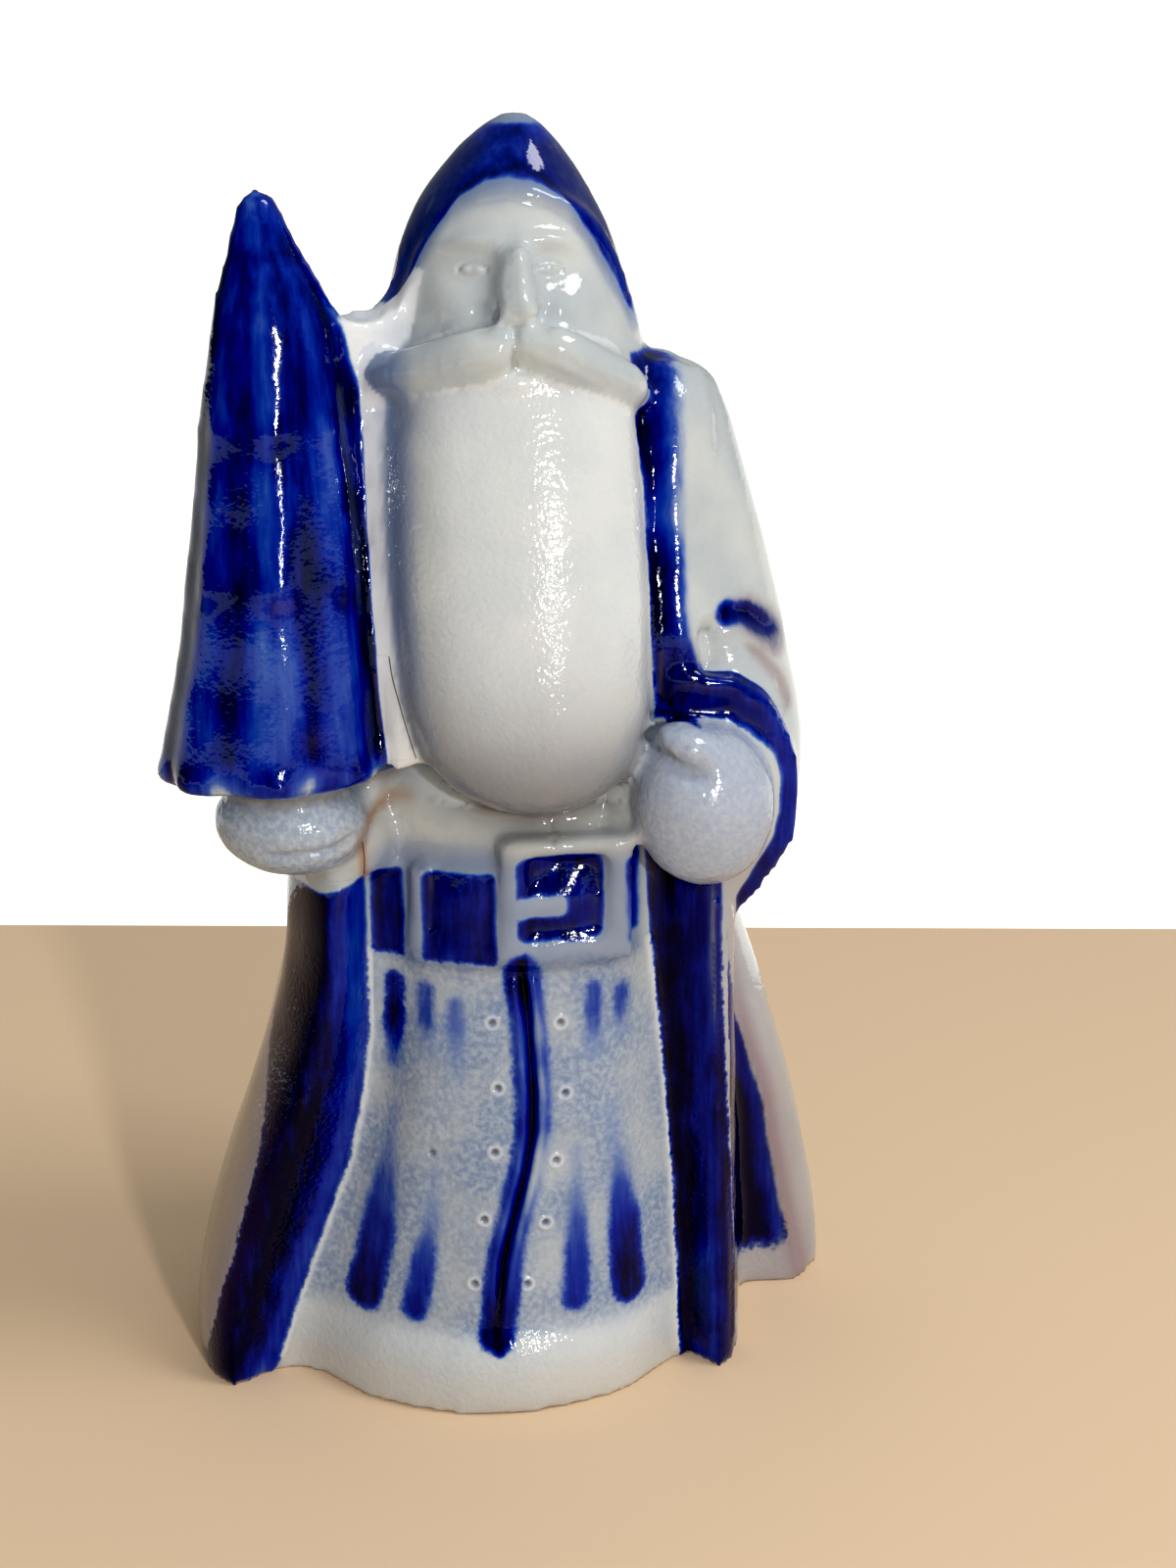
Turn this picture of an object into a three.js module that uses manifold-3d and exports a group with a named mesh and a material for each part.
// A glazed stoneware Father Christmas, cast in one piece: a hooded, bearded figure in an open cloak over a
// belted robe, holding a small fir tree in one mittened hand, the other mitten held at the belt.
// Millimetres, +Z up. The figure looks along -Y, and the tree is on its -X side.
// The origin is on the surface it stands on, under the middle of its outline.

import * as THREE from "three";
import { LoftGeometry } from "three/addons/geometries/LoftGeometry.js";
import { mergeVertices } from "three/addons/utils/BufferGeometryUtils.js";
import Module from "manifold-3d";

const wasm = await Module();
wasm.setup();

// Driving sizes
const WAIST = 88; // where the cloak's bell starts
const SHOULDER = 166; // where the shoulders start to round over
const SHOULDER_TOP = 183;
const HEM_TOP = 14.5; // the fur band round the foot of the robe
const BELT_LOW = 82;
const BELT_HIGH = 99.6;
const BELT_PROUD = 1.3;
const HOOD_TOP = 220.2;
const TREE_FOOT = 115;
const TREE_TOP = 209.5;
const BEARD_FOOT = 108.3;
const BEARD_TOP = 184;

const { lerp, smoothstep } = THREE.MathUtils;

// A closed geometry, moved by a matrix, as a solid that can be joined and cut.
function solid(geometry, matrix = new THREE.Matrix4()) {
  const bare = new THREE.BufferGeometry().copy(geometry).applyMatrix4(matrix);
  for (const extra of ["normal", "uv"]) bare.deleteAttribute(extra);
  const merged = mergeVertices(bare, 1e-4);
  return new wasm.Manifold(
    new wasm.Mesh({
      numProp: 3,
      vertProperties: merged.attributes.position.array,
      triVerts: new Uint32Array(merged.index.array),
    }),
  );
}

// A place, a turn in degrees about X, Y and Z, and a size along each axis.
function placed([x, y, z], [rx, ry, rz] = [0, 0, 0], [sx, sy, sz] = [1, 1, 1]) {
  const turn = new THREE.Euler(...[rx, ry, rz].map(THREE.MathUtils.degToRad), "ZYX");
  return new THREE.Matrix4().compose(
    new THREE.Vector3(x, y, z),
    new THREE.Quaternion().setFromEuler(turn),
    new THREE.Vector3(sx, sy, sz),
  );
}

// An egg: a unit ball stretched to three half sizes.
function egg(place, halves, turn, round = 20, high = 12) {
  return solid(new THREE.SphereGeometry(1, round, high), placed(place, turn, halves));
}

// A value read from a short list of [height, value, ...] rows, with a smooth curve through them.
function readAt(rows, z) {
  const last = rows.length - 1;
  const up = rows[0][0] < rows[last][0];
  let i = 0;
  while (i < last - 1 && (up ? z > rows[i + 1][0] : z < rows[i + 1][0])) i += 1;
  const t = THREE.MathUtils.clamp((z - rows[i][0]) / (rows[i + 1][0] - rows[i][0]), 0, 1);
  const before = rows[Math.max(i - 1, 0)];
  const after = rows[Math.min(i + 2, last)];
  return rows[i].slice(1).map((value, k) => {
    const next = rows[i + 1][k + 1];
    const slopeIn = (next - before[k + 1]) / 2;
    const slopeOut = (after[k + 1] - value) / 2;
    const t2 = t * t;
    const t3 = t2 * t;
    return (
      (2 * t3 - 3 * t2 + 1) * value + (t3 - 2 * t2 + t) * slopeIn + (3 * t2 - 2 * t3) * next + (t3 - t2) * slopeOut
    );
  });
}

// Sections stacked up the Z axis, each an oval with its middle, half width and half depth read from rows
// [height, x, y, half width, half depth]. Squareness 2 is a true oval, and more is boxier.
function ovalStack(rows, heights, round, squareness = 2) {
  const sections = heights.map((z) => {
    const [x, y, wide, deep] = readAt(rows, z);
    return Array.from({ length: round }, (_, j) => {
      const a = (j / round) * 2 * Math.PI;
      const s = Math.sin(a);
      const c = -Math.cos(a);
      return new THREE.Vector3(
        x + wide * Math.sign(s) * Math.abs(s) ** (2 / squareness),
        y + deep * Math.sign(c) * Math.abs(c) ** (2 / squareness),
        z,
      );
    });
  });
  return solid(new LoftGeometry(sections, { capStart: true, capEnd: true }));
}

// Heights from low to high, packed closer near both ends so that they close roundly.
function roundedHeights(low, high, count) {
  return Array.from({ length: count }, (_, i) => lerp(low, high, (1 - Math.cos((i / (count - 1)) * Math.PI)) / 2));
}

// Robe and cloak: how far out each station stands, from 1 at the foot to 0 at the waist.
const bell = (t) => 1 - t ** 1.5;
const slope = (t) => 1 - smoothstep(t, 0.04, 1);
const straight = (t) => 1 - t;
const sweep = (t) => 1 - smoothstep(t, 0, 0.85);

// The plan of robe and cloak, from the middle of the robe round by +X, the back and -X: where each ridge
// and valley stands at the foot and at the waist.
const STATIONS = [
  { at: "robe middle", foot: [-6, -38.5], waist: [0.8, -27.5], flare: straight },
  { at: "robe right", foot: [15, -33.5], waist: [13, -26.3], flare: straight },
  { at: "robe meets cloak, right", foot: [28.8, -23.5], waist: [22.4, -20.5], flare: straight },
  { at: "front fold, right", foot: [35.4, -27.6], waist: [33.4, -25], flare: straight },
  { at: "front fold's outer side, right", foot: [39.4, -20.5], waist: [37, -18.5], flare: straight },
  { at: "valley behind it", foot: [42.5, -1], waist: [35.5, -3.5], flare: bell },
  { at: "side fold's front", foot: [53.5, 1.2], waist: [36.5, 1], flare: bell },
  { at: "side fold", foot: [59.4, 11], waist: [37.4, 9], flare: bell },
  { at: "valley", foot: [54, 20], waist: [35.4, 16], flare: bell },
  { at: "back side fold", foot: [49.5, 30.5], waist: [33.5, 23.5], flare: bell },
  { at: "valley", foot: [37.5, 31.5], waist: [26, 25.5], flare: bell },
  { at: "back fold", foot: [26.5, 38.5], waist: [18, 30], flare: bell },
  { at: "valley", foot: [13.5, 36.2], waist: [9, 29.3], flare: bell },
  { at: "middle of the back", foot: [0, 39.8], waist: [0, 31], flare: bell },
  { at: "valley", foot: [-13.5, 36.2], waist: [-9, 29.3], flare: bell },
  { at: "back fold", foot: [-26.5, 38.5], waist: [-18, 30], flare: bell },
  { at: "valley", foot: [-37.5, 31.5], waist: [-26, 25.5], flare: bell },
  { at: "back side fold", foot: [-49.5, 29.5], waist: [-34, 23], flare: bell },
  { at: "valley", foot: [-54.5, 19], waist: [-38, 15], flare: bell },
  { at: "side fold", foot: [-59.8, 8], waist: [-40.5, 5], flare: slope },
  { at: "front fold's outer side, left", foot: [-60.8, -12], waist: [-40.6, -11], flare: slope },
  { at: "front fold, left", foot: [-54.4, -27.2], waist: [-33, -25.3], flare: slope },
  { at: "robe meets cloak, left", foot: [-41.5, -22.3], waist: [-24.6, -20.5], flare: sweep },
  { at: "robe left", foot: [-26, -33], waist: [-12, -26.3], flare: straight },
];
const ROBE_FRONT = new Set([0, 1, 23]); // the stations that carry the belt and the fur hem

// How far the robe's front stands proud at a height: the belt, and the rounded fur band at the foot.
function robeProud(z) {
  const belt = z > BELT_LOW && z < BELT_HIGH ? BELT_PROUD : 0;
  const band = z < HEM_TOP ? 1.3 * Math.sqrt(Math.max(0, 1 - ((z - 4.5) / 10.4) ** 2)) : 0;
  return belt + band;
}

const SHOULDERS = { x: 0.5, y: 2, wide: 32, deep: 22 };

// Where one station stands at a height.
function stationAt(station, index, z) {
  const [wx, wy] = station.waist;
  if (z <= WAIST) {
    const out = station.flare(z / WAIST);
    const proud = ROBE_FRONT.has(index) ? robeProud(z) : 0;
    return new THREE.Vector3(lerp(wx, station.foot[0], out), lerp(wy, station.foot[1], out) - proud, z);
  }
  const turn = Math.atan2(wx / SHOULDERS.wide, -(wy - SHOULDERS.y) / SHOULDERS.deep);
  const rise = smoothstep(z, WAIST, 135);
  const proud = ROBE_FRONT.has(index) ? robeProud(z) : 0;
  const shrink = z > SHOULDER ? Math.sqrt(1 - ((z - SHOULDER) / (SHOULDER_TOP + 0.6 - SHOULDER)) ** 2) : 1;
  return new THREE.Vector3(
    SHOULDERS.x + (lerp(wx - SHOULDERS.x, SHOULDERS.wide * Math.sin(turn), rise)) * shrink,
    SHOULDERS.y + (lerp(wy - SHOULDERS.y, -SHOULDERS.deep * Math.cos(turn), rise)) * shrink - proud,
    z,
  );
}

const BODY_ROUND = 56;
const BODY_HEIGHTS = [
  0, 2.5, 8, 13.4, 14.6, 26, 38, 50, 60, 70, 81.8, 82.2, 99.4, 99.8, 110, 126, 146, 166, 174, 179.5, 182.8,
];

function body() {
  const sections = BODY_HEIGHTS.map((z) => {
    const loop = new THREE.CatmullRomCurve3(
      STATIONS.map((station, index) => stationAt(station, index, z)),
      true,
      "centripetal",
    );
    return loop.getPoints(BODY_ROUND).slice(0, BODY_ROUND);
  });
  return solid(new LoftGeometry(sections, { capStart: true, capEnd: true }));
}

// Head and pointed hood.
const HOOD_ROWS = [
  [156, 0, 0, 24, 22],
  [166, 0, 0, 25, 23],
  [175, 0, 0, 23.7, 22],
  [183, 0, 0, 22.1, 20.8],
  [189, 0, 0, 20.7, 19.6],
  [194, 0, 0, 19.3, 18.4],
  [199, 0, 0, 17.8, 17],
  [203, 0.1, 0, 16.1, 15.3],
  [207, 0.2, 0, 13.9, 13.2],
  [211, 0.4, 0, 11.2, 10.6],
  [215.2, 0.6, 0, 7.9, 7.5],
  [217.9, 0.7, 0, 5.2, 5],
  [219.5, 0.8, 0, 2.9, 2.8],
  [HOOD_TOP, 0.8, 0, 0.7, 0.7],
];

function hood() {
  const heights = [156, 166, 175, 183, 189, 194, 199, 203, 207, 211, 214.2, 217, 219, HOOD_TOP];
  return ovalStack(HOOD_ROWS, heights, 26);
}

// Beard: a deep rounded slab whose foot stands clear of the belly.
const BEARD_ROWS = [
  [BEARD_FOOT, 2.2, -22, 0.8, 1.5],
  [110.5, 2.2, -22, 9, 10],
  [114, 2.1, -21.5, 14.8, 14],
  [120, 1.9, -20.5, 18.4, 16.5],
  [128, 1.6, -19.5, 20.2, 17.6],
  [146, 0.8, -16.5, 20.9, 18],
  [158, 0.4, -14.5, 20.6, 17.4],
  [169, 0, -12.5, 20.1, 16.2],
  [178, -0.2, -11, 19.4, 14],
  [BEARD_TOP, -0.2, -9, 16, 9],
];

function beard() {
  const heights = [BEARD_FOOT, 109, 110.5, 113, 117, 122, 130, 146, 158, 169, 178, BEARD_TOP];
  return ovalStack(BEARD_ROWS, heights, 28, 2.35);
}

// A rod of a given thickness along a smooth path.
function rod(points, thick, steps, sides = 10) {
  const path = new THREE.CatmullRomCurve3(points.map((p) => new THREE.Vector3(...p)));
  const section = new THREE.Shape().absarc(0, 0, thick, 0, 2 * Math.PI);
  return solid(new THREE.ExtrudeGeometry(section, { extrudePath: path, steps, curveSegments: sides / 2 }));
}

// Face of a plain and calm old man: eyes halfway down the head and one eye's width apart, the nose's foot
// halfway from brow to chin. Round it the hood's fur edge, and below it the moustache.
const FACE = { x: 0.4, eyes: 197.6, eyesApart: 6.4, noseFoot: 189.4 };

function face() {
  const { x, eyes, eyesApart, noseFoot } = FACE;
  const pieces = [
    rod([[-18.4, -6, 187], [-17, -9.4, 195], [-11.4, -12, 203.2], [0.2, -13, 207], [11.6, -12, 203.2],
      [17.2, -9.4, 195], [18.6, -6, 187]], 2, 12, 8),
    egg([x, -15.2, 201.6], [10.6, 3.6, 2.6], [-8, 0, 0], 12, 6), // brow
    egg([x, -20.4, 193.8], [2.5, 3.8, 6], [-14, 0, 0], 10, 8), // nose
    egg([x, -22.4, noseFoot + 2.2], [3.4, 3.4, 2.5], [0, 0, 0], 10, 6), // its tip
  ];
  for (const side of [-1, 1]) {
    pieces.push(egg([x + side * eyesApart, -17, eyes], [2.8, 1.9, 1.7], [0, 0, side * 14], 8, 6)); // eyelid
    pieces.push(egg([x + side * 9.4, -15.2, 190.8], [6.6, 5.2, 5.6], [0, 0, side * 18], 12, 8)); // cheek
  }
  return pieces;
}

function moustache() {
  return [
    egg([-6.2, -24.4, 184.4], [7.6, 4.2, 3.6], [0, -13, -14], 12, 8),
    egg([-15.4, -19.6, 181.6], [8.8, 4, 3], [0, -12, -32], 12, 8),
    egg([7, -24.2, 184], [7.4, 4.2, 3.6], [0, 18, 18], 12, 8),
    egg([14.6, -19.6, 180.2], [7, 4, 3.1], [0, 24, 38], 12, 8),
  ];
}

// Arms under the cloak: heights, then middle, half width and half depth.
const RIGHT_SLEEVE = [
  [84, 33, -13, 2, 3],
  [87, 33.2, -13, 5, 6],
  [91.5, 33.8, -12, 7.2, 9.5],
  [96.4, 34.8, -11, 9.1, 12],
  [103, 36.4, -10, 11.3, 14.4],
  [110, 37.2, -9, 12.1, 15.4],
  [117, 37.2, -8, 12.4, 15.8],
  [130, 35.2, -5, 12.2, 15.2],
  [145, 32.4, -2.5, 11.8, 14.6],
  [160, 29.6, -1, 10.5, 13.6],
  [172, 28.2, 0, 8.3, 11.2],
  [178, 28.2, 0, 5.4, 8],
  [180.2, 28, 0, 1.2, 2.4],
];
const LEFT_SLEEVE = [
  [92, -32, -7, 2, 3],
  [96, -32.5, -7, 8, 10],
  [104, -34, -6.5, 11, 13.5],
  [115, -34.5, -5, 12, 15],
  [130, -33.5, -4, 12, 15],
  [145, -32, -2.5, 11.6, 14.6],
  [160, -29.8, -1, 10.6, 13.6],
  [172, -28.6, 0, 8.6, 11.4],
  [178, -28.2, 0, 5.4, 8],
  [180.2, -28, 0, 1.2, 2.4],
];

// Mittens, the wide cuff round one of them, and the cloak's rolled edges on both sides of the beard.
function arms() {
  return [
    ovalStack(RIGHT_SLEEVE, roundedHeights(84, 180.2, 11), 20),
    ovalStack(LEFT_SLEEVE, roundedHeights(92, 180.2, 9), 16),
    rod([[24.8, -6, 180], [25.4, -12, 172], [26, -17, 152], [26.4, -21, 138], [26.6, -24, 126]], 3.3, 6, 8),
    rod([[-24.4, -8, 189], [-22.4, -14.5, 181], [-21.2, -18, 165], [-20.4, -20.5, 150], [-19.6, -22.5, 134],
      [-18.6, -24, 115]], 2.8, 8, 8),
    solid(new THREE.TorusGeometry(1, 0.2, 6, 20), placed([35.2, -18.5, 110], [88, 0, 8], [11.8, 18.2, 17])),
    egg([30.4, -26, 109.6], [11.9, 10, 14.2], [0, -6, 6], 16, 10), // mitten at the belt
    egg([23.8, -31, 119.4], [3.8, 4, 6.6], [0, -38, 0], 10, 6), // its thumb
    egg([-38.6, -23, 107.3], [12.8, 11, 8.9], [0, 4, -6], 16, 10), // mitten under the tree
  ];
}

// Fir tree: a tall cone in drooping tiers, with upright lobes of branches. Half width at each height.
const TREE_ROWS = [
  [TREE_FOOT, -40.4, 18.6],
  [116.4, -40.3, 19.9],
  [119.4, -40.2, 19.4],
  [133.7, -39.2, 17.2],
  [153.3, -38.2, 15.1],
  [173.9, -37.7, 13],
  [186, -37.2, 11.4],
  [193.8, -38.2, 8.7],
  [202.3, -39.5, 4.6],
  [206.8, -39.9, 2.8],
  [208.7, -40, 1.5],
  [TREE_TOP, -40, 0.4],
];
const TREE_LOBES = 9;
const TREE_TIERS = [TREE_FOOT, 143, 171]; // where each tier's boughs end
const TREE_DEPTH = 0.74;

function tree() {
  const round = 4 * TREE_LOBES;
  const heights = [
    TREE_FOOT, 116, 118.5, 126, 135, 142.5, 143.5, 152, 162, 170.5, 171.5, 181, 189, 195, 201, 205.5, 208.3, TREE_TOP,
  ];
  const sections = heights.map((z) => {
    const [middle, wide] = readAt(TREE_ROWS, z);
    const tier = TREE_TIERS.filter((foot) => foot <= z).pop();
    const droop = Math.max(0, 1 - (z - tier) / 20);
    const hang = z > 118 && z < 190 ? 3 : 0; // how far the middle of a bough hangs below its sides
    return Array.from({ length: round }, (_, j) => {
      const turn = (j / round) * 2 * Math.PI;
      const lobe = 0.5 + 0.5 * Math.cos(TREE_LOBES * turn);
      const r = wide * (0.95 + 0.05 * lobe) + droop * (0.9 * lobe - 0.5) * Math.min(1, wide / 12);
      return new THREE.Vector3(
        middle + r * Math.sin(turn),
        lerp(-20.5, -16.5, (z - TREE_FOOT) / (TREE_TOP - TREE_FOOT)) - TREE_DEPTH * r * Math.cos(turn),
        z - hang * (lobe - 0.5),
      );
    });
  });
  return solid(new LoftGeometry(sections, { capStart: true, capEnd: true }));
}

// The web of clay that joins the tree to the shoulder and the hood, running back from the tree's axis.
function web() {
  const outline = new THREE.Shape();
  outline.moveTo(-3, 110);
  outline.lineTo(24, 110);
  outline.lineTo(24, 196);
  outline.quadraticCurveTo(18.5, 189, 14.6, 188.4);
  outline.quadraticCurveTo(10.4, 188.6, 4, 198);
  outline.lineTo(-3, 186);
  outline.closePath();
  const slab = new THREE.ExtrudeGeometry(outline, { depth: 8, bevelEnabled: false, curveSegments: 5 });
  return solid(slab, placed([-40, -14.5, 0], [90, 0, 25]));
}

// Belt buckle: a square frame standing on the belt, beside the robe's middle.
const BUCKLE = { x: 6.8, z: 93.6, wide: 22, high: 21.6, bar: 3.6, thick: 3.4 };

// A rectangle as a shape, or as the hole in one.
function rectangle(path, wide, high) {
  path.moveTo(-wide / 2, -high / 2);
  path.lineTo(wide / 2, -high / 2);
  path.lineTo(wide / 2, high / 2);
  path.lineTo(-wide / 2, high / 2);
  path.closePath();
  return path;
}

function plate(shape, thick, place, turn) {
  return solid(new THREE.ExtrudeGeometry(shape, { depth: thick, bevelEnabled: false }), placed(place, turn));
}

// The buckle with its tongue, and the strip of a loop round the belt.
function buckle() {
  const { x, z, wide, high, bar, thick } = BUCKLE;
  const frame = rectangle(new THREE.Shape(), wide, high);
  frame.holes.push(rectangle(new THREE.Path(), wide - 2 * bar, high - 2 * bar));
  return [
    plate(frame, thick, [x, -26, z], [90, 0, 5]),
    plate(rectangle(new THREE.Shape(), 9, 3.6), thick - 0.6, [x - 4, -26, z], [90, 0, 5]),
    plate(rectangle(new THREE.Shape(), 3.4, BELT_HIGH - BELT_LOW), 3, [-17.6, -22.9, (BELT_LOW + BELT_HIGH) / 2], [90, 0, -24]),
  ];
}

// The incised line down the front of the robe, cut as a thin wandering rod.
function robeLine() {
  const path = new THREE.CatmullRomCurve3(
    [
      [0.4, 81],
      [1.9, 72],
      [1.7, 63],
      [-0.4, 50],
      [-2.6, 36],
      [-5, 21],
      [-5.6, 15],
    ].map(([x, z]) => new THREE.Vector3(x, lerp(-38.7, -27.6, z / WAIST) - 0.2, z)),
  );
  const section = new THREE.Shape().absarc(0, 0, 0.9, 0, 2 * Math.PI);
  return solid(new THREE.ExtrudeGeometry(section, { extrudePath: path, steps: 10, curveSegments: 3 }));
}

// All of it fused into the one casting, with its outline's middle brought over the origin.
let casting = body();
for (const piece of [hood(), beard(), ...face(), ...moustache(), ...arms(), tree(), web(), ...buckle()]) {
  casting = casting.add(piece);
}
casting = casting.subtract(robeLine());

const mesh = casting.getMesh();
const geometry = new THREE.BufferGeometry();
geometry.setAttribute("position", new THREE.BufferAttribute(mesh.vertProperties, 3));
geometry.setIndex(new THREE.BufferAttribute(mesh.triVerts, 1));
geometry.computeBoundingBox();
const middle = geometry.boundingBox.getCenter(new THREE.Vector3());
geometry.translate(-middle.x, -middle.y, 0);
geometry.computeVertexNormals();

const glaze = new THREE.MeshStandardMaterial({ color: 0xa9b0b3, roughness: 0.22, metalness: 0 });
const figure = new THREE.Mesh(geometry, glaze);
figure.name = "santa_figure";

const part = new THREE.Group();
part.add(figure);
export default part;
